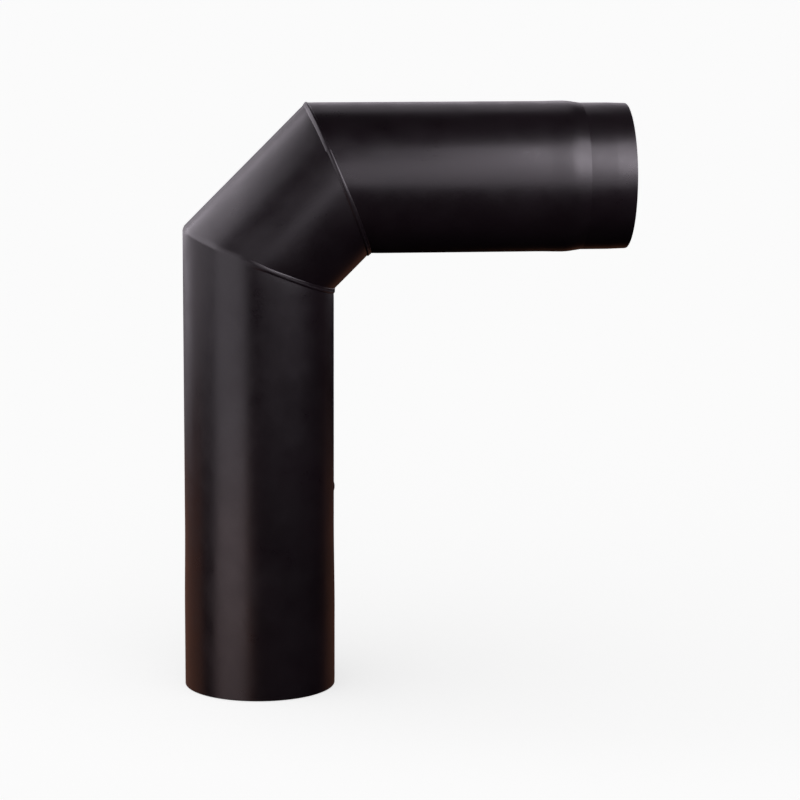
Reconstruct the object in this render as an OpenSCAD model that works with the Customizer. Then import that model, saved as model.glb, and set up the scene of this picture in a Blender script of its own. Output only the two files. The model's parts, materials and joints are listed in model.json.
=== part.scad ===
// Flue elbow: three mitred lengths of thick-walled steel pipe, welded into a right-angle bend.
// The long lower leg stands on the Z axis with its open mouth at the origin.
// The upper leg runs out along +X and ends in a reduced spigot that slips into the next pipe.
// All lengths are in millimetres.

/* [Pipe] */
// Inside diameter of the pipe, which is the nominal flue size
pipe_bore = 150; // [130:1:200]
// Thickness of the steel
wall = 2; // [1.5:0.1:3]
// Bevel left on the cut edges at both open ends
edge_bevel = 0.4; // [0.1:0.1:0.6]

/* [Mouth] */
// How much the lower mouth is widened to take a spigot, measured on the radius
mouth_growth = 0.8; // [0.6:0.1:1.5]
// Depth over which the widened mouth is parallel
mouth_depth = 80; // [40:5:90]
// Length of the slow taper from the mouth back to the pipe
mouth_taper = 90; // [30:5:90]

/* [Bend] */
// Height at which the two leg axes cross, above the open lower mouth
lower_reach = 527; // [360:1:900]
// Distance from that crossing to the tip of the spigot
upper_reach = 378; // [320:1:800]
// Length of the middle section along its own axis, from mitre to mitre
gore_length = 115; // [105:1:180]

/* [Spigot] */
// Gap all round between the spigot and a widened mouth that slips over it
spigot_play = 0.6; // [0.2:0.1:1]
// Length of the parallel part of the spigot
spigot_parallel = 27; // [15:1:60]
// Length of the gentle taper that leads the spigot in
lead_in = 20; // [5:1:30]
// How much the lead-in closes, measured on the radius
lead_in_drop = 0.6; // [0.2:0.1:1.5]
// Length of the swaged step from the full pipe down to the spigot
swage_length = 20; // [8:1:30]
// Slight swelling of the pipe that the swaging raises just before the step
swell = 0.4; // [0.1:0.1:1]
// Length over which the pipe swells
swell_length = 24; // [10:1:40]

/* [Welds] */
// Width of the ring welds at the two mitres
ring_weld_width = 3.2; // [2:0.1:6]
// How far the ring welds stand out of the pipe
ring_weld_crown = 0.9; // [0.5:0.1:1.5]
// How far the ring welds stand into the bore
ring_weld_root = 0.3; // [0.1:0.1:0.6]
// Width of the straight seam weld along each section
seam_weld_width = 2.6; // [2:0.1:5]
// How far the seam welds stand out of the pipe
seam_weld_crown = 0.4; // [0.2:0.1:0.5]
// Place of the lump where two runs of the lower leg's seam weld meet, as a share of the seam
lump_share = 0.5; // [0.2:0.01:0.8]
// Length of that lump along the seam
lump_length = 9; // [5:0.5:14]
// How far the lump stands out of the pipe
lump_rise = 1.2; // [0.8:0.1:2]

/* [Hidden] */
$fn = 96;

bore_r = pipe_bore / 2;
pipe_r = bore_r + wall;
mouth_r = bore_r + mouth_growth;
spigot_r = mouth_r - spigot_play;
tip_r = spigot_r - lead_in_drop;

// Each of the two mitres turns the duct by 45 degrees, half of it on either side of the cut
mitre_turn = 45;
half_turn = mitre_turn / 2;
// Distance from the crossing of the leg axes back to the middle of each mitre
mitre_inset = gore_length * cos(mitre_turn);
// How much further the outside of the bend reaches along a section's axis than its middle does
mitre_lean = pipe_r * tan(half_turn);
// Every section is first made this much too long, then cut back at the mitre
cut_allowance = mitre_lean + 20;
// Larger than any section is wide, so that a cutting block takes the whole pipe
block = 5 * pipe_r;

// Stations along the lower leg, counted from its mouth
taper_end = mouth_depth + mouth_taper;
throat_height = lower_reach - mitre_inset - mitre_lean;
lower_top = lower_reach - mitre_inset + cut_allowance;

// Stations along the gore, counted from the middle of the lower mitre
gore_bottom = -cut_allowance;
gore_top = gore_length + cut_allowance;

// Stations along the upper leg, counted from the crossing of the axes
upper_start = mitre_inset - cut_allowance;
lead_in_start = upper_reach - lead_in;
spigot_start = lead_in_start - spigot_parallel;
step_start = spigot_start - swage_length;
swell_start = step_start - swell_length;
bend_steps = 8;
// Share of the step's length that is a rolled shoulder. The rest is a straight cone.
shoulder = 0.5;

// The lump is a spherical cap whose chord is its length, on the skin at its own height
lump_height = throat_height * lump_share;
lump_growth = mouth_growth * min(1, max(0, (taper_end - lump_height) / mouth_taper));
lump_r = (pow(lump_length / 2, 2) + pow(lump_rise, 2)) / (2 * lump_rise);

steel_colour = [0.16, 0.15, 0.16];
weld_colour = [0.24, 0.23, 0.24];

// --- Places ---

module at_lower_mitre()
    translate([0, 0, lower_reach - mitre_inset]) rotate([0, half_turn, 0]) children();

module at_upper_mitre()
    translate([mitre_inset, 0, lower_reach]) rotate([0, 90 - half_turn, 0]) children();

module on_gore_axis()
    translate([0, 0, lower_reach - mitre_inset]) rotate([0, mitre_turn, 0]) children();

module on_upper_axis()
    translate([0, 0, lower_reach]) rotate([0, 90, 0]) children();

// --- Cutting blocks, used in the frame of a mitre ---

// Everything further along the duct than z
module beyond(z)
    translate([-block / 2, -block / 2, z]) cube(block);

// Everything nearer the lower mouth than z
module before(z)
    translate([-block / 2, -block / 2, z - block]) cube(block);

// --- Round sections, all along +Z ---

module ring(outer_r, inner_r, low, high)
    translate([0, 0, low])
        difference() {
            cylinder(r = outer_r, h = high - low);
            translate([0, 0, -1]) cylinder(r = inner_r, h = high - low + 2);
        }

function reversed(list) = [for (i = [len(list) - 1 : -1 : 0]) list[i]];

// Outline of the lower leg's skin as [radius, station] points, from its edge at z upwards
function lower_skin(skin_r, z) = [
    [skin_r + mouth_growth, z],
    [skin_r + mouth_growth, mouth_depth],
    [skin_r, taper_end],
    [skin_r, lower_top]
];

// The lower leg before its mitre is cut, with bevelled edges at the widened mouth.
// crown moves the outside away from the axis.
module lower_blank(crown = 0)
    rotate_extrude()
        polygon(concat(
            [
                [mouth_r + edge_bevel, 0],
                [mouth_r + wall + crown - edge_bevel, 0]
            ],
            lower_skin(pipe_r + crown, edge_bevel),
            reversed(lower_skin(bore_r, edge_bevel))
        ));

// Everything inside the lower leg's outer skin
module lower_core()
    rotate_extrude()
        polygon(concat([[0, 0]], lower_skin(pipe_r, 0), [[0, lower_top]]));

// The gore before either mitre is cut
module gore_blank(crown = 0)
    ring(pipe_r + crown, bore_r, gore_bottom, gore_top);

// Share of the step's drop that is reached at a share t of the shoulder
function shoulder_drop(t) = shoulder * t * t / (2 - shoulder);

// Outline of the upper leg's skin as [radius, station] points. The pipe swells a little, rolls
// over the shoulder into the cone of the step, meets the spigot at a crisp corner and tapers at
// the lead-in.
// inward moves the whole skin towards the axis.
function upper_skin(inward) = [
    for (point = concat(
        [[pipe_r, upper_start]],
        [for (i = [0 : bend_steps])
            let (t = i / bend_steps)
            [pipe_r + swell * (1 - cos(180 * t)) / 2, swell_start + swell_length * t]],
        [for (i = [1 : bend_steps])
            let (t = i / bend_steps)
            [
                pipe_r + swell - (pipe_r + swell - spigot_r) * shoulder_drop(t),
                step_start + swage_length * shoulder * t
            ]],
        [
            [spigot_r, spigot_start],
            [spigot_r, lead_in_start]
        ]
    )) [point[0] - inward, point[1]]
];

// The upper leg before its mitre is cut
module upper_blank()
    rotate_extrude()
        polygon(concat(
            upper_skin(0),
            [
                [tip_r, upper_reach - edge_bevel],
                [tip_r - edge_bevel, upper_reach],
                [tip_r - wall + edge_bevel, upper_reach],
                [tip_r - wall, upper_reach - edge_bevel]
            ],
            reversed(upper_skin(wall))
        ));

// --- Seams: the slot that each section's straight weld fills ---

// A slot through the wall on the +X side of a section's axis, from low to high
module seam_slot(low, high)
    translate([bore_r - 2 * wall, -seam_weld_width / 2, low])
        cube([5 * wall, seam_weld_width, high - low]);

module lower_slot()
    seam_slot(-1, lower_reach);

// The middle section is turned half round, so its seam lies on the outside of the bend
module gore_slot()
    rotate([0, 0, 180]) seam_slot(gore_bottom - 1, gore_top + 1);

module upper_slot()
    seam_slot(0, upper_reach + 1);

// --- Pipe sections ---

module lower_leg() {
    color(steel_colour)
        difference() {
            lower_blank();
            lower_slot();
            at_lower_mitre() beyond(-ring_weld_width / 2);
        }
}

module elbow_gore() {
    color(steel_colour)
        difference() {
            on_gore_axis()
                difference() {
                    gore_blank();
                    gore_slot();
                }
            at_lower_mitre() before(ring_weld_width / 2);
            at_upper_mitre() beyond(-ring_weld_width / 2);
        }
}

module upper_leg() {
    color(steel_colour)
        difference() {
            on_upper_axis()
                difference() {
                    upper_blank();
                    upper_slot();
                }
            at_upper_mitre() before(ring_weld_width / 2);
        }
}

// --- Ring welds: each fills the gap at a mitre through the whole wall ---

// One pass of weld, as wide as width, whose crown and root follow the pipe on either side
module ring_weld_pass(width, crown, root) {
    intersection() {
        rotate([0, -half_turn, 0])
            ring(pipe_r + crown, bore_r - root, -cut_allowance, cut_allowance);
        translate([-block / 2, -block / 2, -width / 2]) cube([block, block, width / 2]);
    }
    intersection() {
        rotate([0, half_turn, 0])
            ring(pipe_r + crown, bore_r - root, -cut_allowance, cut_allowance);
        translate([-block / 2, -block / 2, 0]) cube([block, block, width / 2]);
    }
}

// A broad low pass under a narrow high one gives the crown its rounded section
module ring_weld()
    color(weld_colour)
        union() {
            ring_weld_pass(ring_weld_width, ring_weld_crown * 0.6, 0);
            ring_weld_pass(ring_weld_width * 0.55, ring_weld_crown, ring_weld_root);
        }

module lower_mitre_weld()
    at_lower_mitre() ring_weld();

module upper_mitre_weld()
    at_upper_mitre() ring_weld();

// --- Seam welds: flush inside, slightly proud outside ---

module lower_leg_seam_weld() {
    color(weld_colour)
        difference() {
            union() {
                intersection() {
                    lower_blank(seam_weld_crown);
                    lower_slot();
                }
                // The lump sits on the outside of the pipe, where one run stopped on the other
                difference() {
                    translate([pipe_r + lump_growth + lump_rise - lump_r, 0, lump_height])
                        sphere(lump_r);
                    lower_core();
                }
            }
            at_lower_mitre() beyond(-ring_weld_width / 2);
        }
}

module gore_seam_weld() {
    color(weld_colour)
        difference() {
            on_gore_axis()
                intersection() {
                    gore_blank(seam_weld_crown);
                    gore_slot();
                }
            at_lower_mitre() before(ring_weld_width / 2);
            at_upper_mitre() beyond(-ring_weld_width / 2);
        }
}

// Its crown is dressed flush from where the pipe begins to swell, so the spigot stays round
module upper_leg_seam_weld() {
    color(weld_colour)
        difference() {
            on_upper_axis()
                intersection() {
                    union() {
                        upper_blank();
                        ring(pipe_r + seam_weld_crown, bore_r, upper_start, swell_start);
                    }
                    upper_slot();
                }
            at_upper_mitre() before(ring_weld_width / 2);
        }
}

lower_leg();
elbow_gore();
upper_leg();
lower_mitre_weld();
upper_mitre_weld();
lower_leg_seam_weld();
gore_seam_weld();
upper_leg_seam_weld();
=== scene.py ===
"""Looks of the flue elbow: fine meshes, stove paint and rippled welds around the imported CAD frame.

Metres throughout, in the frame's own axes. The lower leg stands on Z with its mouth at the origin, the
middle section leans over at 45 degrees, and the upper leg runs out along +X and ends in the spigot.
"""

import json
import math

import bpy
import numpy as np
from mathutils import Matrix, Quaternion, Vector

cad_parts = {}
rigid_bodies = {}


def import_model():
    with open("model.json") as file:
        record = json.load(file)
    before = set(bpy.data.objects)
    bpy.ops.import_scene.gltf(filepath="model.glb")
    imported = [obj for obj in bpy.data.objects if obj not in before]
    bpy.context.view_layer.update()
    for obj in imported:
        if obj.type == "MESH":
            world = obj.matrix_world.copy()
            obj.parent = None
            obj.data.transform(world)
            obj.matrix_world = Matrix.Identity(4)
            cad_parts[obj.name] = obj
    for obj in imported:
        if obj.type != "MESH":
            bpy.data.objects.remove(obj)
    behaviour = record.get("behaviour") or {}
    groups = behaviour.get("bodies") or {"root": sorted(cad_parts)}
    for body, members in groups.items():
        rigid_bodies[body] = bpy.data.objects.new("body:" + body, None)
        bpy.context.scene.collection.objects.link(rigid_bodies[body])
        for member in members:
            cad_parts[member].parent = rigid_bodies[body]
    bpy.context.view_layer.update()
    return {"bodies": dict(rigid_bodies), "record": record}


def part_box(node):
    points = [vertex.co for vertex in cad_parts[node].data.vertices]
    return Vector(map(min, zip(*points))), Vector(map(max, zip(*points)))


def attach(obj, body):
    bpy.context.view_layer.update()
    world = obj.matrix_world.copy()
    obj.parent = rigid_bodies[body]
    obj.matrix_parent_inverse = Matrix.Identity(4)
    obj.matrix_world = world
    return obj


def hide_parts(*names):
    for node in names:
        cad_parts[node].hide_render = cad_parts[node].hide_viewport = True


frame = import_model()

MM = 0.001


# --- Dimensions, from the frame's mounts and boxes ---


def mount(name):
    """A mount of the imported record, by name."""
    return next(m for m in frame["record"]["mounts"] if m["name"] == name)


SOCKET = mount("lower_socket")
SPIGOT = mount("upper_spigot")
LOWER_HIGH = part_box("lower_leg")[1]

MOUTH_R = LOWER_HIGH.x
WALL = MOUTH_R - SOCKET["dims"]["r_mm"] * MM
PIPE_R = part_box("elbow_gore")[1].y
BORE_R = PIPE_R - WALL
MOUTH_DEPTH = 80 * MM
MOUTH_TAPER = 90 * MM

HALF_TURN = math.radians(22.5)
RING_GAP = 3.2 * MM
# Half the gap of a ring weld and the lean of its cut, both measured along a section's axis
GAP_ALONG = RING_GAP / 2 / math.cos(HALF_TURN)
LEAN = math.tan(HALF_TURN)

MITRE_Z = LOWER_HIGH.z - PIPE_R * LEAN + GAP_ALONG
UPPER_Z = SPIGOT["pos_m"][2]
INSET = UPPER_Z - MITRE_Z
GORE_LENGTH = INSET / math.cos(2 * HALF_TURN)

SPIGOT_R = SPIGOT["dims"]["r_mm"] * MM
SPIGOT_FROM = SPIGOT["pos_m"][0] - SPIGOT["dims"]["length_mm"] * MM / 2
SPIGOT_TO = SPIGOT["pos_m"][0] + SPIGOT["dims"]["length_mm"] * MM / 2
TIP_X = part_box("upper_leg")[1].x
TIP_DROP = 0.6 * MM
STEP_FROM = SPIGOT_FROM - 20 * MM
SWELL_FROM = STEP_FROM - 24 * MM
SWELL = 0.4 * MM
SWELL_WAVES_FADE = 30 * MM

EDGE = 0.5 * MM
EDGE_WEAR_REACH = 0.9 * MM
SEAM_WIDTH = 2.6 * MM
SEAM_CROWN = 0.4 * MM
LUMP_Z = 207 * MM
LUMP_LENGTH = 9 * MM
LUMP_RISE = 1.2 * MM
WELD_DRAW = 0.14 * MM
WELD_DRAW_REACH = 6 * MM
WAVES_REACH = 14 * MM
# The lower mitre's heel is ground round this far to each side
DRESSED = 4.2 * MM

TURNS = 240


# --- The three straight runs of the duct ---


class Run:
    """A straight run: its axis, and the direction from the axis towards the inside of the bend."""

    def __init__(self, origin, along, throat):
        self.origin = np.array(origin, float)
        self.along = np.array(along, float)
        self.throat = np.array(throat, float)
        self.side = np.array([0.0, 1.0, 0.0])

    def points(self, radius, turn, station):
        """Points at a radius, an angle from the throat and a station along the axis."""
        out = (radius * np.cos(turn))[..., None] * self.throat
        out = out + (radius * np.sin(turn))[..., None] * self.side
        return self.origin + out + station[..., None] * self.along


DIAGONAL = math.sqrt(0.5)
LOWER = Run((0, 0, 0), (0, 0, 1), (1, 0, 0))
GORE = Run((0, 0, MITRE_Z), (DIAGONAL, 0, DIAGONAL), (DIAGONAL, 0, -DIAGONAL))
UPPER = Run((0, 0, UPPER_Z), (1, 0, 0), (0, 0, -1))


def ease(t):
    """0 to 1 with level ends."""
    t = np.clip(t, 0, 1)
    return t * t * (3 - 2 * t)


def rounded_edge(distance):
    """How far a skin falls away towards a cut edge that is rounded by EDGE."""
    inside = np.clip(EDGE - distance, 0, EDGE)
    return EDGE - np.sqrt(np.maximum(EDGE**2 - inside**2, 0))


def rolling_waves(seed):
    """The faint waviness that plate rolling leaves: a few long sine waves, about 0.03 mm in all."""
    draw = np.random.default_rng(seed)
    waves = []
    for _ in range(7):
        count, length = draw.integers(1, 6), draw.uniform(70, 260) * MM
        waves.append((count, length, draw.uniform(0, 6.28, 2), draw.uniform(4, 11) * 1e-6))

    def height(turn, station):
        total = np.zeros(np.broadcast(turn, station).shape)
        for count, length, phase, size in waves:
            round_it = np.sin(count * turn + phase[0])
            total = total + size * round_it * np.sin(6.283 * station / length + phase[1])
        return total

    return height


def weld_draw(distance):
    """How far a ring weld's shrinkage draws the skin in, by the distance from the cut edge."""
    return WELD_DRAW * np.exp(-((distance / WELD_DRAW_REACH) ** 2))


def off_weld(distance):
    """0 at a ring weld and 1 well away from it: next to the weld the section isn't wavy."""
    return 1 - np.exp(-((distance / WAVES_REACH) ** 2))


def heel_side(turn):
    """1 round the outside of the bend, falling to 0 just past its sides."""
    return ease((0.12 - np.cos(turn)) / 0.4)


def dressed(turn, distance):
    """How deep the lower mitre's heel is ground to a smooth rounding, by the distance from the mitre."""
    near = np.clip(DRESSED - distance, 0, None)
    return heel_side(turn) * LEAN * np.clip(-np.cos(turn), 0, 1) * near**2 / (2 * DRESSED)


def lower_cut(radius, turn):
    """The station at which the lower leg is cut."""
    return MITRE_Z - GAP_ALONG - radius * np.cos(turn) * LEAN


def gore_cuts(radius, turn):
    """The stations of the gore's two cuts."""
    lean = radius * np.cos(turn) * LEAN
    return GAP_ALONG + lean, GORE_LENGTH - GAP_ALONG - lean


def upper_cut(radius, turn):
    """The station at which the upper leg is cut."""
    return INSET + GAP_ALONG + radius * np.cos(turn) * LEAN


LOWER_WAVES, GORE_WAVES, UPPER_WAVES = rolling_waves(11), rolling_waves(23), rolling_waves(37)


def lower_radius(turn, station):
    """Outer skin of the lower leg: widened mouth, slow taper, pipe."""
    growth = (MOUTH_R - PIPE_R) * (1 - ease((station - MOUTH_DEPTH) / MOUTH_TAPER))
    to_cut = lower_cut(PIPE_R, turn) - station
    # The lower ring weld is ground smooth on the heel side, and leaves no dip there
    drawn = weld_draw(to_cut) * (1 - heel_side(turn)) + dressed(turn, to_cut + GAP_ALONG)
    waves = LOWER_WAVES(turn, station) * off_weld(to_cut)
    return PIPE_R + growth - rounded_edge(station) - drawn + waves


def gore_radius(turn, station):
    """Outer skin of the middle section."""
    low, high = gore_cuts(PIPE_R, turn)
    drawn = weld_draw(station - low) * (1 - heel_side(turn)) + weld_draw(high - station)
    drawn = drawn + dressed(turn, station - low + GAP_ALONG)
    return PIPE_R - drawn + GORE_WAVES(turn, station) * off_weld(station - low)


def upper_radius(turn, station):
    """Outer skin of the upper leg: pipe, slight swelling, rolled shoulder, spigot and lead-in."""
    swollen = PIPE_R + SWELL * ease((station - SWELL_FROM) / (STEP_FROM - SWELL_FROM))
    down = np.clip((station - STEP_FROM) / (SPIGOT_FROM - STEP_FROM), 0, 1)
    # The first half of the step is rolled over, the rest is a straight cone
    dropped = np.where(down < 0.5, down**2, down - 0.25) / 0.75
    shoulder = swollen + (SPIGOT_R - swollen) * dropped
    closing = TIP_DROP * np.clip((station - SPIGOT_TO) / (TIP_X - SPIGOT_TO), 0, 1)
    drawn = weld_draw(station - upper_cut(PIPE_R, turn))
    waves = UPPER_WAVES(turn, station) * (1 - ease((station - SWELL_FROM) / SWELL_WAVES_FADE))
    return shoulder - closing - rounded_edge(TIP_X - station) - drawn + waves


# --- Mesh making ---

# The studio lights shine on the elbow alone, and one light of its own shades the floor
ELBOW = bpy.data.collections.new("elbow")
GROUND = bpy.data.collections.new("ground")
bpy.context.scene.collection.children.link(ELBOW)
bpy.context.scene.collection.children.link(GROUND)


def grid_faces(rows, columns, closed):
    """Quads of a grid whose rows close into a loop, and whose columns do too if closed."""
    quads = []
    for i in range(rows):
        below = (i + 1) % rows
        for j in range(columns if closed else columns - 1):
            right = (j + 1) % columns
            here, under = i * columns, below * columns
            quads.append((here + j, here + right, under + right, under + j))
    return quads


def make_piece(name, points, closed, replaced, materials, wear, inner_rows=(0, 0)):
    """A closed piece from a grid of points: rows run round the section's outline, columns along it.

    Where the columns don't close, the first and last outline are capped. Rows from inner_rows[0] up to
    inner_rows[1] face the inside of the duct and take the second material."""
    rows, columns = points.shape[:2]
    faces = grid_faces(rows, columns, closed)
    along = columns if closed else columns - 1
    inner = [inner_rows[0] <= i < inner_rows[1] for i in range(rows) for _ in range(along)]
    if not closed:
        faces.append(tuple(i * columns for i in range(rows)))
        faces.append(tuple(i * columns + columns - 1 for i in range(rows - 1, -1, -1)))
        inner += [False, False]
    mesh = bpy.data.meshes.new(name)
    mesh.from_pydata(points.reshape(-1, 3).tolist(), [], faces)
    mesh.update()
    for material in materials:
        mesh.materials.append(material)
    mesh.polygons.foreach_set("material_index", np.array(inner, np.int32))
    mesh.attributes.new("wear", "FLOAT", "POINT").data.foreach_set("value", wear.astype(np.float32).ravel())
    if signed_volume(mesh) < 0:
        mesh.flip_normals()
    mesh.shade_smooth()
    mesh.set_sharp_from_angle(angle=math.radians(32))
    piece = bpy.data.objects.new(name, mesh)
    ELBOW.objects.link(piece)
    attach(piece, "root" if "root" in frame["bodies"] else next(iter(frame["bodies"])))
    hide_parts(replaced)
    return piece


def signed_volume(mesh):
    """The mesh's volume, negative where its faces point inwards."""
    total = 0.0
    for polygon in mesh.polygons:
        corners = [mesh.vertices[i].co for i in polygon.vertices]
        for a, b in zip(corners[1:], corners[2:]):
            total += corners[0].dot(a.cross(b))
    return total


# Distances of the rows of points next to a cut and to an open edge
NEAR_WELD = np.array([0, 0.6, 1.4, 2.4, 3.6, 5, 7, 9.5, 13, 18]) * MM
NEAR_EDGE = np.array([0, 0.04, 0.12, 0.24, 0.38, 0.5, 0.8, 2]) * MM
# Between these stations and the open edges, both legs' rows are square to the axis
LOWER_SQUARE_TO = 370 * MM
UPPER_SQUARE_FROM = 150 * MM


def stretch(start, end, near_start, near_end, middle):
    """Stations from start to end at every angle, close together at both ends."""
    first, last = start + near_start[-1], end - near_end[-1]
    share = np.linspace(0, 1, middle + 2)[1:-1, None]
    return np.concatenate(
        [start + near_start[:, None], first + (last - first) * share, end - near_end[::-1, None]]
    )


def fixed(stations, turn):
    """The same stations at every angle."""
    return np.broadcast_to(np.array(stations)[:, None], (len(stations), len(turn)))


def seam_gap():
    """Half the seam weld's width as an angle round the pipe."""
    return SEAM_WIDTH / 2 / PIPE_R


def turns_from(seam):
    """Angles round a section, from one side of its seam to the other."""
    return seam + np.linspace(seam_gap(), 2 * math.pi - seam_gap(), TURNS)


def edge_wear(distance):
    """Paint rubs thin within about a millimetre of an open edge."""
    return np.exp(-distance / EDGE_WEAR_REACH)


def pipe_piece(name, run, radius_at, stations_at, seam, edge_at=None):
    """One rolled section: outer skin one way, inner skin back, closed over both ends.

    seam is the angle of its seam's gap, and edge_at the station of its open edge, if it has one."""
    turn = turns_from(seam)
    outer = stations_at(PIPE_R, turn)
    inner = stations_at(BORE_R, turn)[::-1]
    inner_r = radius_at(turn, inner) - WALL
    # An edge rounded on the outside is rounded on the inside too
    inner_r = inner_r + 2 * rounded_edge(np.abs(inner - edge_at)) if edge_at is not None else inner_r
    radius = np.concatenate([radius_at(turn, outer), inner_r])
    station = np.concatenate([outer, inner])
    points = run.points(radius, turn, station)
    if edge_at is None:
        wear = np.zeros(station.shape)
    else:
        wear = edge_wear(np.abs(station - edge_at))
    return make_piece(name + "_tube", points, False, name, PAINTED_PIPE, wear,
                      (len(outer), len(station) - 1))


def lower_stations(radius, turn):
    """Rows of the lower leg: square to the axis from the mouth, then bending over to the cut."""
    taper = np.linspace(MOUTH_DEPTH, MOUTH_DEPTH + MOUTH_TAPER, 19)
    parallel = np.linspace(NEAR_EDGE[-1], MOUTH_DEPTH, 10)[1:-1]
    plain = np.linspace(MOUTH_DEPTH + MOUTH_TAPER, LOWER_SQUARE_TO, 22)[1:]
    rows = fixed(np.concatenate([NEAR_EDGE, parallel, taper, plain]), turn)
    rest = stretch(rows[-1], lower_cut(radius, turn), np.zeros(1), NEAR_WELD, 4)
    return np.concatenate([rows, rest[1:]])


def gore_stations(radius, turn):
    """Rows of the middle section, from cut to cut."""
    low, high = gore_cuts(radius, turn)
    return stretch(low, high, NEAR_WELD, NEAR_WELD, 14)


def upper_stations(radius, turn):
    """Rows of the upper leg: from the cut to square rows, with close ones where the profile turns."""
    corner = 0.12 * MM
    plain = np.linspace(UPPER_SQUARE_FROM, SWELL_FROM, 16)
    swell = np.linspace(SWELL_FROM, STEP_FROM, 14)[1:]
    step = np.linspace(STEP_FROM, SPIGOT_FROM - corner, 22)[1:]
    spigot = np.linspace(SPIGOT_FROM + corner, SPIGOT_TO - corner, 8)
    tip = TIP_X - NEAR_EDGE[::-1]
    lead = np.linspace(SPIGOT_TO + corner, tip[0], 7)[:-1]
    rows = fixed(np.concatenate([plain, swell, step, [SPIGOT_FROM], spigot, [SPIGOT_TO], lead, tip]), turn)
    start = stretch(upper_cut(radius, turn), rows[0], NEAR_WELD, np.zeros(1), 3)
    return np.concatenate([start[:-1], rows])


# --- Weld beads ---


def ripples(length, pitch, seed):
    """Ripple number at a distance along a bead: each ripple has its own slightly different length."""
    draw = np.random.default_rng(seed)
    count = max(3, round(length / pitch))
    steps = draw.uniform(0.72, 1.28, count)
    edges = np.concatenate([[0], np.cumsum(steps)]) * (length / steps.sum())

    def number(distance):
        return np.interp(np.mod(distance, length), edges, np.arange(count + 1.0))

    return number


def scallop(number):
    """Rounded top of each ripple, with a crease between one and the next."""
    within = number - np.floor(number)
    return 1 - np.abs(2 * within - 1) ** 2.4


def slow_noise(count, seed, waves=9):
    """A smooth random line that closes on itself, about -1 to 1."""
    draw = np.random.default_rng(seed)
    turn = np.linspace(0, 2 * math.pi, count, endpoint=False)
    total = np.zeros(count)
    for k in range(2, 2 + waves):
        total += draw.uniform(0.4, 1) / math.sqrt(k) * np.sin(k * turn + draw.uniform(0, 6.28))
    return total / np.abs(total).max()


RING_HALF = RING_GAP / 2 + 0.35 * MM
RING_CROWN = 0.82 * MM
RING_THROAT_RISE = 0.5 * MM
RING_ROOT = 0.3 * MM
RING_STEPS = 2000
RING_RIPPLE = 1.15 * MM
# A bead at least this high has its full ripples, and a lower one is smoother
RING_FULL_RELIEF = 0.6 * MM
RING_RIPPLE_HEIGHT = 0.055 * MM
RING_RIPPLE_BOW = 1.1 * MM
# The bead's sides dip up to this far under the pipe's skin, so that no edge of it stands clear
RING_TOE_DEPTH = 0.10 * MM
RING_WANDER = 0.16 * MM
STOP_REACH = 3.2 * MM
STOP_BLEND = 3 * MM
# The angle round the bend at which the heel's run of bead begins, and the angle over which it does
HEEL_RUN_FROM = 2.4
HEEL_RUN_BLEND = 0.5
# A mitre's outline is a little longer than the pipe's circle
MITRE_STRETCH = 1.02


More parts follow.
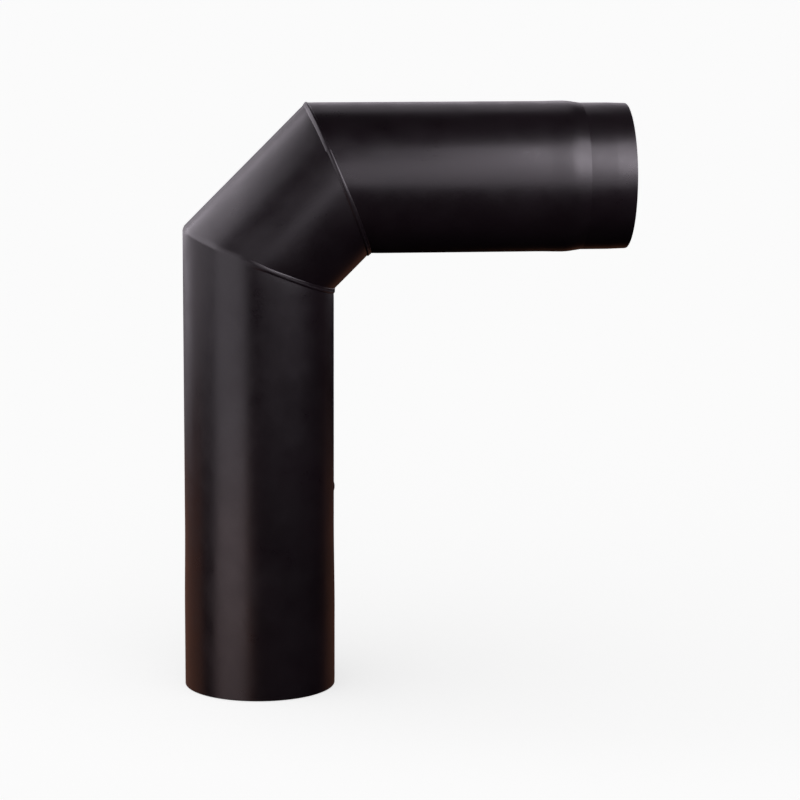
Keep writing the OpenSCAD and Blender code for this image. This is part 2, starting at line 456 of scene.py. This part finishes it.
def ring_bead(name, before, after, seed, stop_turn, heel_crown, aside, step=0.0, heel_spread=0.0,
              ground=False):
    """A ring weld: a rippled bead that follows the mitre and is highest in the throat.

    before and after are the sections that it joins, each a run and the mitre's station on it. At
    stop_turn the bead laid from the throat meets the one laid from the heel, which runs aside by
    step. Round the heel the bead is heel_crown high and wider by heel_spread. The whole of it lies
    off its mitre by aside. Where ground is true, the heel has the rounding that dressed() gives."""
    turn = np.linspace(0, 2 * math.pi, RING_STEPS, endpoint=False)
    across = np.linspace(-1, 1, 15)[:, None]
    from_stop = (np.mod(turn - stop_turn + math.pi, 2 * math.pi) - math.pi) * PIPE_R
    near_stop = np.exp(-((from_stop / STOP_REACH) ** 2))
    throat = np.clip(np.cos(turn), 0, 1) ** 6
    heel = heel_side(turn)

    height = RING_CROWN + RING_THROAT_RISE * throat + (heel_crown - RING_CROWN) * heel
    relief = np.minimum(1, height / RING_FULL_RELIEF)
    uneven = 0.05 * slow_noise(RING_STEPS, seed + 1, 14) + 0.18 * near_stop
    height = height + MM * uneven * relief

    # The heel's run of bead lies between HEEL_RUN_FROM and the stop
    heel_run = ease((stop_turn - turn) * PIPE_R / STOP_BLEND + 0.5)
    heel_run = heel_run * ease((turn - HEEL_RUN_FROM) / HEEL_RUN_BLEND)
    half = RING_HALF * (1 + 0.07 * slow_noise(RING_STEPS, seed) + 0.12 * near_stop)
    # The bead is wider where it lies off its mitre, so that it still covers the gap
    half = half + 0.6 * abs(step) * heel_run + 0.7 * abs(aside) + heel_spread * heel
    wander = RING_WANDER * slow_noise(RING_STEPS, seed + 2, 6) + step * heel_run + aside
    outer_offset = across * half + wander

    number = ripples(2 * math.pi * PIPE_R * MITRE_STRETCH, RING_RIPPLE, seed + 3)
    # Each ripple trails back at the bead's sides
    bow = RING_RIPPLE_BOW * across**2
    tops = scallop(number(turn * PIPE_R * MITRE_STRETCH + bow))
    profile = (1 - across**2) ** (2 - 1.25 * relief)
    ripple = RING_RIPPLE_HEIGHT * tops * profile**0.5
    crown = height * profile + relief * (ripple - RING_TOE_DEPTH * (1 - profile) ** 6)
    if ground:
        crown = crown - dressed(turn, np.abs(outer_offset) / math.cos(HALF_TURN))

    root_across = np.linspace(1, -1, 7)[:, None]
    root = RING_ROOT * (1 - root_across**2) * np.ones_like(turn)
    radius = np.concatenate([PIPE_R + crown, BORE_R - root])
    offset = np.concatenate([outer_offset, root_across * RING_GAP * 0.52 * np.ones_like(turn)])
    lean = radius * np.cos(turn) * LEAN
    along = offset / math.cos(HALF_TURN)
    one = before[0].points(radius, turn, before[1] - lean + along)
    two = after[0].points(radius, turn, after[1] + lean + along)
    # The bead passes smoothly from one section's surface to the other's, but a ground corner follows each
    # on its own side
    spread = np.concatenate([np.broadcast_to(half, crown.shape), np.full(root.shape, RING_HALF)])
    share = ease(0.5 + offset / (1.6 * spread))
    if ground:
        share = share + ((offset > 0) - share) * heel
    points = one * (1 - share[..., None]) + two * share[..., None]
    wear = np.concatenate([(0.25 + 0.4 * tops) * profile**2, np.zeros_like(root)])
    return make_piece(name + "_bead", points, True, name, PAINTED_WELD, wear,
                      (len(across), len(points) - 1))


SEAM_RIPPLE = 1.3 * MM
SEAM_RIPPLE_HEIGHT = 0.035 * MM
SEAM_RIPPLE_BOW = 1.0 * MM
SEAM_STEP = 0.26 * MM
# How far the crown laps over the pipe beside the gap, and how far its sides dip under the skin there
SEAM_LAP = 0.25 * MM
SEAM_TOE_DEPTH = 0.05 * MM
# How far the seam stands out of the wall into the duct
SEAM_ROOT = 0.04 * MM


def seam_bead(name, run, radius_at, low, high, seam, seed, fade_low=0.0, fade_high=0.0, lump=False):
    """A straight weld along a section's seam, whose crown fades out over the lengths given for its ends."""
    steps = int((high - low) / SEAM_STEP)
    station = np.linspace(low, high, steps)
    across = np.linspace(-1, 1, 11)[:, None]
    toe = seam_gap() + SEAM_LAP / PIPE_R
    wide = toe * (1 + 0.05 * slow_noise(steps, seed))
    turn = seam + across * wide
    number = ripples(high - low + 1e-6, SEAM_RIPPLE, seed + 1)
    tops = scallop(number(station - low + SEAM_RIPPLE_BOW * across**2))
    profile = (1 - across**2) ** 0.75
    fade = ease((station - low) / fade_low) if fade_low else np.ones(steps)
    fade = fade * ease((high - station) / fade_high) if fade_high else fade
    height = SEAM_CROWN * (1 + 0.1 * slow_noise(steps, seed + 2)) + SEAM_RIPPLE_HEIGHT * tops
    crown = height * profile * fade
    if lump:
        near = np.clip(1 - ((station - LUMP_Z) / (LUMP_LENGTH / 2)) ** 2, 0, 1)
        crown = crown + (LUMP_RISE - SEAM_CROWN) * near**0.8 * profile
        turn = seam + across * wide * (1 + 0.45 * near)
    crown = crown - SEAM_TOE_DEPTH * (1 - profile) ** 6
    outer_r = radius_at(turn, station) + crown
    inner_turn = seam + np.linspace(1, -1, 5)[:, None] * seam_gap() * np.ones(steps)
    inner_r = radius_at(inner_turn, station) - WALL - SEAM_ROOT
    points = run.points(np.concatenate([outer_r, inner_r]), np.concatenate([turn, inner_turn]),
                        np.broadcast_to(station, (len(across) + 5, steps)))
    wear = np.concatenate([(0.2 + 0.3 * tops) * profile**2 * fade, np.zeros(inner_r.shape)])
    return make_piece(name + "_bead", points, False, name, PAINTED_WELD, wear,
                      (len(across), len(points) - 1))


# --- Materials ---


class Nodes:
    """Short helpers for building a material's node tree."""

    def __init__(self, name):
        self.material = bpy.data.materials.new(name)
        self.material.use_nodes = True
        self.tree = self.material.node_tree
        self.shader = self.tree.nodes["Principled BSDF"]
        self.place = self.tree.nodes.new("ShaderNodeTexCoord").outputs["Object"]

    def link(self, source, target):
        self.tree.links.new(source, target)

    def noise(self, scale, detail=2.0, roughness=0.5, stretch=None):
        node = self.tree.nodes.new("ShaderNodeTexNoise")
        node.inputs["Scale"].default_value = scale
        node.inputs["Detail"].default_value = detail
        node.inputs["Roughness"].default_value = roughness
        place = self.place
        if stretch:
            mapping = self.tree.nodes.new("ShaderNodeMapping")
            mapping.inputs["Scale"].default_value = stretch
            self.link(place, mapping.inputs["Vector"])
            place = mapping.outputs["Vector"]
        self.link(place, node.inputs["Vector"])
        return node.outputs["Fac"]

    def spread(self, source, low, high, to_low, to_high):
        """Maps low..high of a value onto to_low..to_high."""
        node = self.tree.nodes.new("ShaderNodeMapRange")
        sockets = ("From Min", "From Max", "To Min", "To Max")
        for socket, value in zip(sockets, (low, high, to_low, to_high)):
            node.inputs[socket].default_value = value
        self.link(source, node.inputs["Value"])
        return node.outputs["Result"]

    def sums(self, operation, a, b):
        node = self.tree.nodes.new("ShaderNodeMath")
        node.operation = operation
        for socket, value in zip(node.inputs, (a, b)):
            if isinstance(value, (int, float)):
                socket.default_value = value
            else:
                self.link(value, socket)
        return node.outputs[0]

    def mix(self, share, a, b):
        node = self.tree.nodes.new("ShaderNodeMix")
        node.data_type = "RGBA"
        self.link(share, node.inputs["Factor"])
        for socket, value in zip((node.inputs["A"], node.inputs["B"]), (a, b)):
            if isinstance(value, tuple):
                socket.default_value = (*value, 1.0)
            else:
                self.link(value, socket)
        return node.outputs["Result"]

    def bump(self, height, distance, strength, under=None):
        node = self.tree.nodes.new("ShaderNodeBump")
        node.inputs["Distance"].default_value = distance
        node.inputs["Strength"].default_value = strength
        self.link(height, node.inputs["Height"])
        if under is not None:
            self.link(under, node.inputs["Normal"])
        return node.outputs["Normal"]

    def attribute(self, name):
        node = self.tree.nodes.new("ShaderNodeAttribute")
        node.attribute_name = name
        return node.outputs["Fac"]


RUBBED_PAINT = (0.050, 0.048, 0.051)
LIGHT_SCALE, DARK_SCALE, RUST = (0.135, 0.132, 0.132), (0.070, 0.072, 0.078), (0.090, 0.052, 0.034)


def stove_paint(name, dark, light, roughness, peel):
    """Heat-resistant stove paint: charcoal, satin, fine orange peel and grain, thin where "wear" is high."""
    n = Nodes(name)
    mottling = n.noise(14, 4, 0.55)
    speckle = n.noise(2600, 2, 0.6)
    base = n.mix(n.spread(mottling, 0.35, 0.65, 0, 1), dark, light)
    grain_tint = n.mix(n.spread(speckle, 0.62, 0.78, 0, 0.5), base, tuple(1.8 * c for c in light))
    worn = n.spread(n.sums("MULTIPLY", n.attribute("wear"), n.noise(700, 3, 0.6)), 0.2, 0.6, 0, 0.75)
    colour = n.mix(worn, grain_tint, RUBBED_PAINT)
    n.link(colour, n.shader.inputs["Base Color"])
    smudges = n.noise(33, 5, 0.6)
    rough = n.spread(smudges, 0.3, 0.7, *roughness)
    fine = n.spread(n.noise(1900, 2, 0.5), 0.3, 0.7, -0.025, 0.025)
    n.link(n.sums("ADD", rough, fine), n.shader.inputs["Roughness"])
    orange_peel = n.bump(n.noise(620, 2, 0.45), 0.00006, peel)
    n.link(n.bump(speckle, 0.00002, 0.5, orange_peel), n.shader.inputs["Normal"])
    n.shader.inputs["IOR"].default_value = 1.7
    return n.material


def bare_steel(name):
    """The unpainted inside: blue-grey mill scale with streaks along one axis and a little rust."""
    n = Nodes(name)
    scale_cloud = n.noise(28, 6, 0.62)
    streaks = n.noise(160, 3, 0.6, stretch=(1.0, 1.0, 0.08))
    steel = n.mix(n.spread(scale_cloud, 0.35, 0.68, 0, 1), DARK_SCALE, LIGHT_SCALE)
    rusty = n.mix(n.spread(n.noise(75, 7, 0.7), 0.64, 0.8, 0, 0.55), steel, RUST)
    n.link(rusty, n.shader.inputs["Base Color"])
    n.link(n.spread(streaks, 0.3, 0.7, 0.38, 0.62), n.shader.inputs["Roughness"])
    n.link(n.bump(streaks, 0.00008, 0.4), n.shader.inputs["Normal"])
    n.shader.inputs["Metallic"].default_value = 0.55
    return n.material


PAINT = stove_paint("stove_paint", dark=(0.0075, 0.0048, 0.0064), light=(0.0105, 0.0066, 0.0090),
                    roughness=(0.28, 0.38), peel=0.35)
WELD_PAINT = stove_paint("weld_paint", dark=(0.0084, 0.0054, 0.0072), light=(0.0118, 0.0076, 0.0102),
                         roughness=(0.27, 0.37), peel=0.25)
STEEL = bare_steel("mill_scale_steel")
# Each piece has paint outside and steel on its faces towards the duct
PAINTED_PIPE = [PAINT, STEEL]
PAINTED_WELD = [WELD_PAINT, STEEL]


# --- The object ---

pipe_piece("lower_leg", LOWER, lower_radius, lower_stations, seam=0.0, edge_at=0.0)
pipe_piece("elbow_gore", GORE, gore_radius, gore_stations, seam=math.pi)
pipe_piece("upper_leg", UPPER, upper_radius, upper_stations, seam=0.0, edge_at=TIP_X)

ring_bead("lower_mitre_weld", (LOWER, MITRE_Z), (GORE, 0.0), seed=101, stop_turn=2.2,
          heel_crown=0.04 * MM, aside=-0.9 * MM, heel_spread=1.4 * MM, ground=True)
ring_bead("upper_mitre_weld", (GORE, GORE_LENGTH), (UPPER, INSET), seed=211, stop_turn=4.23,
          heel_crown=0.6 * MM, aside=-0.7 * MM, step=-0.7 * MM)

HEEL_LOW, HEEL_HIGH = gore_cuts(PIPE_R, math.pi)
seam_bead("lower_leg_seam_weld", LOWER, lower_radius, 0.0, lower_cut(PIPE_R, 0.0), seam=0.0, seed=307,
          fade_low=3 * MM, lump=True)
seam_bead("gore_seam_weld", GORE, gore_radius, HEEL_LOW, HEEL_HIGH, seam=math.pi, seed=401)
# This crown fades from just before the swelling, and is level with the pipe at the tip
seam_bead("upper_leg_seam_weld", UPPER, upper_radius, upper_cut(PIPE_R, 0.0), TIP_X, seam=0.0, seed=503,
          fade_high=TIP_X - SWELL_FROM + 20 * MM)


# --- Camera ---

CAMERA_TARGET = Vector((0.1461, 0.0, 0.2963))
CAMERA_AZIMUTH = math.radians(-6.66)
CAMERA_ELEVATION = math.radians(9.90)
CAMERA_ROLL = math.radians(0.20)
CAMERA_DISTANCE = 3.217
CAMERA_LENS = 140.0


def make_camera():
    """The photograph's viewpoint. Azimuth 0 looks along +Y."""
    data = bpy.data.cameras.new("camera")
    data.lens = CAMERA_LENS
    data.sensor_width = 36.0
    camera = bpy.data.objects.new("camera", data)
    bpy.context.scene.collection.objects.link(camera)
    flat = math.cos(CAMERA_ELEVATION)
    back = Vector((math.sin(CAMERA_AZIMUTH) * flat, -math.cos(CAMERA_AZIMUTH) * flat, 0))
    back.z = math.sin(CAMERA_ELEVATION)
    camera.location = CAMERA_TARGET + back * CAMERA_DISTANCE
    camera.rotation_mode = "QUATERNION"
    turn = (-back).to_track_quat("-Z", "Y")
    camera.rotation_quaternion = turn @ Quaternion((0, 0, 1), CAMERA_ROLL)
    data.clip_start = 0.05
    data.clip_end = 100.0
    bpy.context.scene.camera = camera


make_camera()


# --- Light and floor ---

CENTRE = Vector((0.13, 0.0, 0.32))
FLOOR_HALF = 30.0
FLOOR_GAP = 0.5 * MM
FLOOR_GLOW = 0.68
WORLD_GLOW = 0.98
PALE = (1.0, 0.92, 1.02)
WARM = (1.0, 0.42, 0.26)


def add_light(name, kind, energy, group):
    """A new light that shines on one group of pieces alone."""
    light = bpy.data.objects.new(name, bpy.data.lights.new(name, kind))
    light.data.energy = energy
    light.light_linking.receiver_collection = group
    bpy.context.scene.collection.objects.link(light)
    return light


def softbox(name, azimuth, elevation, distance, width, height, radiance, tint=PALE):
    """A rectangular soft light that faces CENTRE and shines on the elbow alone.

    Azimuth 0 is in front and 90 to the right, in degrees. The other sizes are in metres."""
    a, e = math.radians(azimuth), math.radians(elevation)
    towards = Vector((math.sin(a) * math.cos(e), -math.cos(a) * math.cos(e), math.sin(e)))
    light = add_light(name, "AREA", radiance * math.pi * width * height, ELBOW)
    light.data.shape = "RECTANGLE"
    light.data.size = width
    light.data.size_y = height
    light.data.color = tint
    light.location = CENTRE + towards * distance
    light.rotation_mode = "QUATERNION"
    light.rotation_quaternion = towards.to_track_quat("Z", "Y")
    light.visible_camera = False


def bore_light():
    """A disc of light in the spigot's mouth that faces into the duct, like daylight through the opening.

    It lies inside the bore, so nothing outside gets any of it. Its group is the softboxes' group, because
    with a second group that overlapped it the picture differed from run to run."""
    light = add_light("bore", "AREA", 0.12, ELBOW)
    light.data.shape = "DISK"
    light.data.size = 1.8 * BORE_R
    light.location = (TIP_X - 2 * MM, 0.0, UPPER_Z)
    light.rotation_euler = (0, math.radians(90), 0)
    light.visible_camera = False


def floor_light():
    """A very wide sun that lights the floor alone, for the soft shadow under the elbow."""
    light = add_light("floor_light", "SUN", 1.2, GROUND)
    light.data.angle = math.radians(100)
    light.rotation_euler = (math.radians(18), math.radians(-12), 0)


def make_floor():
    """A plain pale floor that shows to the camera and throws no light on the elbow."""
    mesh = bpy.data.meshes.new("floor")
    half = FLOOR_HALF
    corners = [(-half, -half, 0), (half, -half, 0), (half, half, 0), (-half, half, 0)]
    mesh.from_pydata(corners, [], [(0, 1, 2, 3)])
    floor = bpy.data.objects.new("floor", mesh)
    floor.location.z = -FLOOR_GAP
    n = Nodes("pale_floor")
    n.shader.inputs["Base Color"].default_value = (0.8, 0.8, 0.8, 1)
    n.shader.inputs["Roughness"].default_value = 1.0
    n.shader.inputs["Specular IOR Level"].default_value = 0.0
    n.shader.inputs["Emission Color"].default_value = (1, 1, 1, 1)
    n.shader.inputs["Emission Strength"].default_value = FLOOR_GLOW
    mesh.materials.append(n.material)
    GROUND.objects.link(floor)
    floor.visible_diffuse = False
    floor.visible_glossy = False
    floor.visible_shadow = False


def make_world():
    """A white background that shows to the camera and isn't reflected."""
    world = bpy.data.worlds.new("world")
    bpy.context.scene.world = world
    world.use_nodes = True
    world.node_tree.nodes["Background"].inputs["Color"].default_value = (1, 1, 1, 1)
    world.node_tree.nodes["Background"].inputs["Strength"].default_value = WORLD_GLOW
    world.cycles_visibility.diffuse = False
    world.cycles_visibility.glossy = False


bpy.context.scene.view_settings.view_transform = "Standard"
bpy.context.scene.view_settings.look = "None"

make_floor()
make_world()
floor_light()
bore_light()

# Azimuth, elevation, distance, width, height, radiance
softbox("key", 42, 36, 1.2, 0.8, 0.84, 2.8)
softbox("key_spill", 32, 23, 1.0, 1.7, 0.7, 0.9)
softbox("left_front", -50, 0, 1.75, 1.5, 1.5, 0.8)
softbox("left", -105, 28, 1.2, 1.75, 0.9, 1.65)
softbox("left_back", -113, 0, 1.35, 1.9, 0.36, 0.5)
softbox("back", 175, 40, 1.65, 0.9, 1.25, 0.45)
softbox("behind", 176, 20, 0.9, 2.2, 0.64, 0.7)
softbox("low_back", -145, -6, 2.2, 1.7, 0.45, 0.3)
softbox("warm_floor", -50, -27, 0.75, 0.6, 0.3, 0.25, WARM)
softbox("warm_left", -135, -24, 2.1, 2.6, 0.75, 0.25, WARM)
softbox("warm_right", 140, -24, 2.1, 1.8, 0.75, 0.12, WARM)
